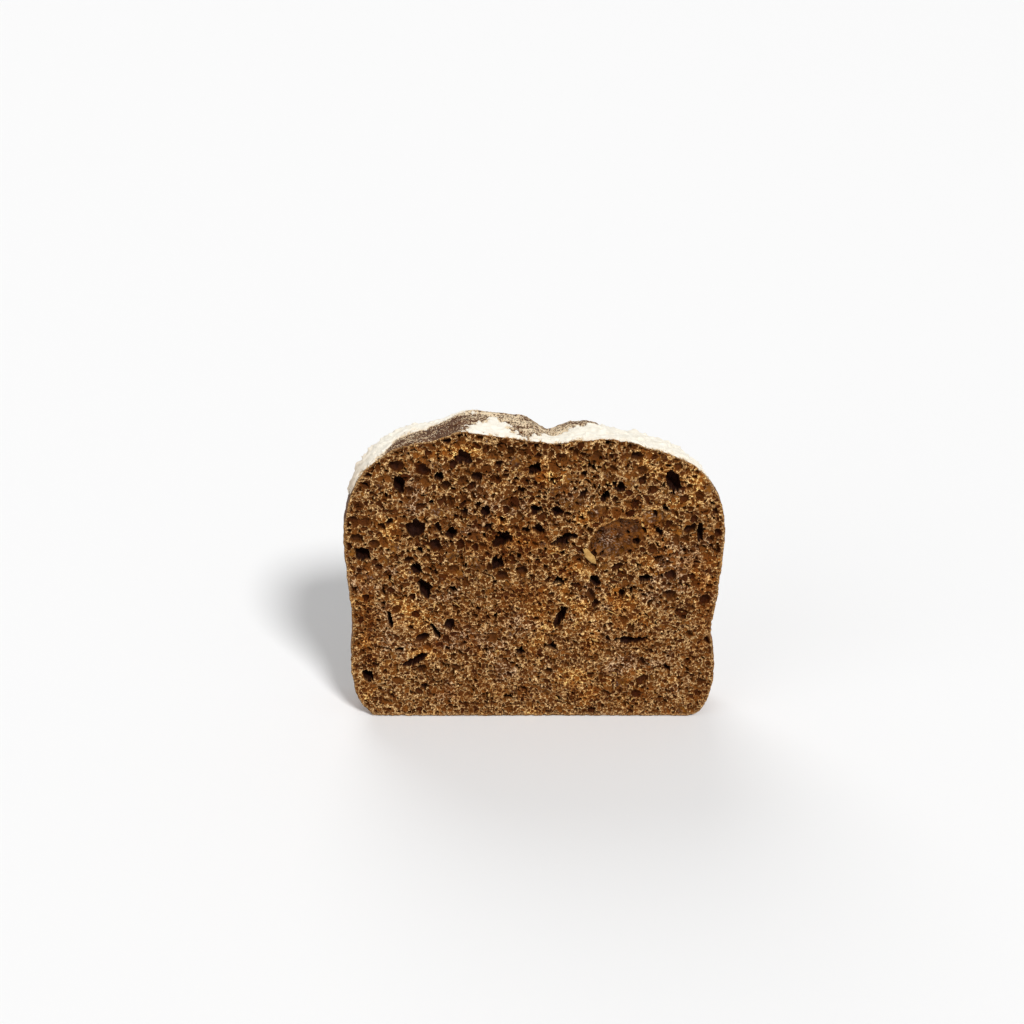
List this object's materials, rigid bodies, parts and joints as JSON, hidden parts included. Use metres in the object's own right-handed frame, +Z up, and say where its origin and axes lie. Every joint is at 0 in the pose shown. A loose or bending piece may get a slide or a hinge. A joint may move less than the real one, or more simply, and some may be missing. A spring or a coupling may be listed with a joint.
{
  "type": "slice of dark wheat tin bread",
  "caption": "Thick slice of a dark tin loaf with an open, holey crumb on both cuts, a thin crust round its edge and a flour-dusted top of two low lobes, standing on its bottom crust.",
  "frame": {"origin": "middle of the slice's bounding box in X and Y, on the plane of its bottom crust", "axes": "+Z up, +X across the loaf to the right as the slice is seen from the front cut, +Y along the loaf from the front cut to the back cut"},
  "size_m": [0.1062, 0.017, 0.0902],
  "materials": {
    "crumb": "dry open sponge, golden-brown rims and dark pores",
    "crust": "satin, with small craters and blisters on top, porous at the sides",
    "flour": "matte clumpy powder",
    "grain": "dry flake"
  },
  "bodies": {
    "root": {"bread_slice": "crumb"}
  },
  "joints": []
}
